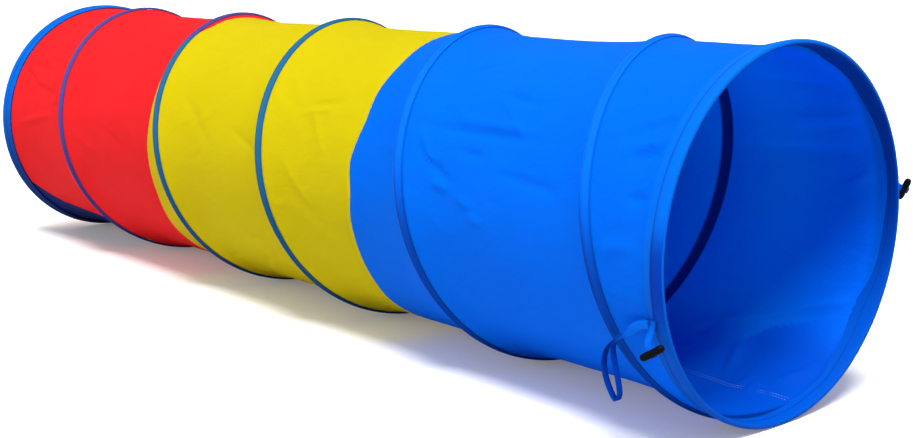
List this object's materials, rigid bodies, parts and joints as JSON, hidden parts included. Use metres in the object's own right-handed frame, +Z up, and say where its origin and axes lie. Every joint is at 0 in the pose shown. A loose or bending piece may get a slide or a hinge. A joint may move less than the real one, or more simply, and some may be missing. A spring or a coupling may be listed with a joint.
{
  "type": "play tunnel",
  "caption": "Pop-up crawl tunnel of coloured fabric panels on a helical spring wire, with hooped open ends and toggle and ribbon loop ties, that folds flat along its length.",
  "frame": {"origin": "on the floor plane, below the middle of the tunnel's box", "axes": "+X along the tunnel towards its front opening, +Z up, -Y towards the side with the near toggle"},
  "size_m": [1.8022, 0.513, 0.4785],
  "materials": {
    "blue_fabric": "thin satin taffeta",
    "yellow_fabric": "thin satin taffeta",
    "red_fabric": "thin satin taffeta",
    "tape_fabric": "woven binding tape",
    "ribbon": "woven ribbon",
    "spring_wire": "drawn spring wire",
    "toggle_plastic": "satin moulded plastic"
  },
  "bodies": {
    "front_end": {"front_hem": "blue_fabric", "front_hoop": "spring_wire", "front_hoop_ferrule": "spring_wire", "front_coil_ferrule": "spring_wire", "blue_panel": "blue_fabric", "near_strap_patch": "ribbon", "far_strap_patch": "ribbon"},
    "middle": {"yellow_panel": "yellow_fabric", "coil_wire": "spring_wire", "coil_tape": "tape_fabric"},
    "rear_end": {"rear_hem": "tape_fabric", "rear_hoop": "spring_wire", "rear_hoop_ferrule": "spring_wire", "rear_coil_ferrule": "spring_wire", "red_panel": "red_fabric"},
    "near_toggle": {"near_toggle": "toggle_plastic", "near_toggle_strap": "ribbon"},
    "near_loop": {"near_ribbon_loop": "ribbon"},
    "far_toggle": {"far_toggle": "toggle_plastic", "far_toggle_strap": "ribbon"},
    "far_loop": {"far_ribbon_loop": "ribbon"}
  },
  "joints": [
    {"name": "collapse", "type": "slide", "parent": "front_end", "child": "rear_end", "axis": [1, 0, 0], "range_m": [0, 1.72], "stiffness_N_per_m": 1.45, "springref_m": -1, "deforming": ["blue_panel", "red_panel"]},
    {"name": "middle_follow", "type": "slide", "parent": "front_end", "child": "middle", "axis": [1, 0, 0], "range_m": [0, 0.86], "deforming": ["yellow_panel", "coil_wire", "coil_tape"]},
    {"name": "near_toggle_swing", "type": "hinge", "parent": "front_end", "child": "near_toggle", "pos_m": [0.879, -0.23093, 0.17054], "axis": [-1, 0, 0], "range_deg": [0, 100]},
    {"name": "near_loop_swing", "type": "hinge", "parent": "front_end", "child": "near_loop", "pos_m": [0.879, -0.23093, 0.17054], "axis": [-1, 0, 0], "range_deg": [0, 100]},
    {"name": "far_toggle_swing", "type": "hinge", "parent": "front_end", "child": "far_toggle", "pos_m": [0.879, 0.22722, 0.3194], "axis": [1, 0, 0], "range_deg": [0, 100]},
    {"name": "far_loop_swing", "type": "hinge", "parent": "front_end", "child": "far_loop", "pos_m": [0.879, 0.22722, 0.3194], "axis": [1, 0, 0], "range_deg": [0, 100]}
  ],
  "couplings": [
    {"joint": "middle_follow", "follows": "collapse", "ratio": 0.5}
  ]
}
